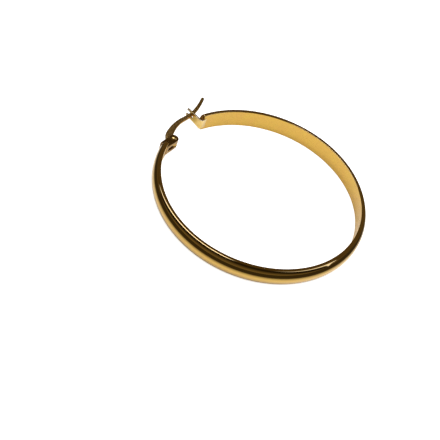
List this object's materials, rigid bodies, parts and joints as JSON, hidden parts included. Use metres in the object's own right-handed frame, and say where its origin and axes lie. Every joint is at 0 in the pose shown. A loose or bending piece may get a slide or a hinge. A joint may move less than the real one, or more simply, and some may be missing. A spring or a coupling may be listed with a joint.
{
  "type": "hoop earring",
  "caption": "Large half-round hoop earring with a hinged ear wire that closes into a forked catch.",
  "frame": {"origin": "on the surface that the hoop lies on, under the middle of its outline from above", "axes": "+Z along the hoop's own axis, up when it lies on its side; +Y from the hoop's middle towards the gap for the ear lobe; +X from the hinge side to the catch side"},
  "size_m": [0.0534, 0.0578, 0.0048],
  "materials": {
    "polished_gold": "mirror-polished gold plating outside, satin gold on the flat inner face",
    "wire_gold": "tumbled bright gold plating"
  },
  "bodies": {
    "hoop": {"hoop_band": "polished_gold", "hinge_rivet": "wire_gold"},
    "ear_wire": {"ear_wire": "wire_gold"}
  },
  "joints": [
    {"name": "ear_wire_hinge", "type": "hinge", "parent": "hoop", "child": "ear_wire", "pos_m": [-0.00646, 0.02192, 0.0024], "axis": [0, 0, 1], "range_deg": [0, 85]}
  ]
}
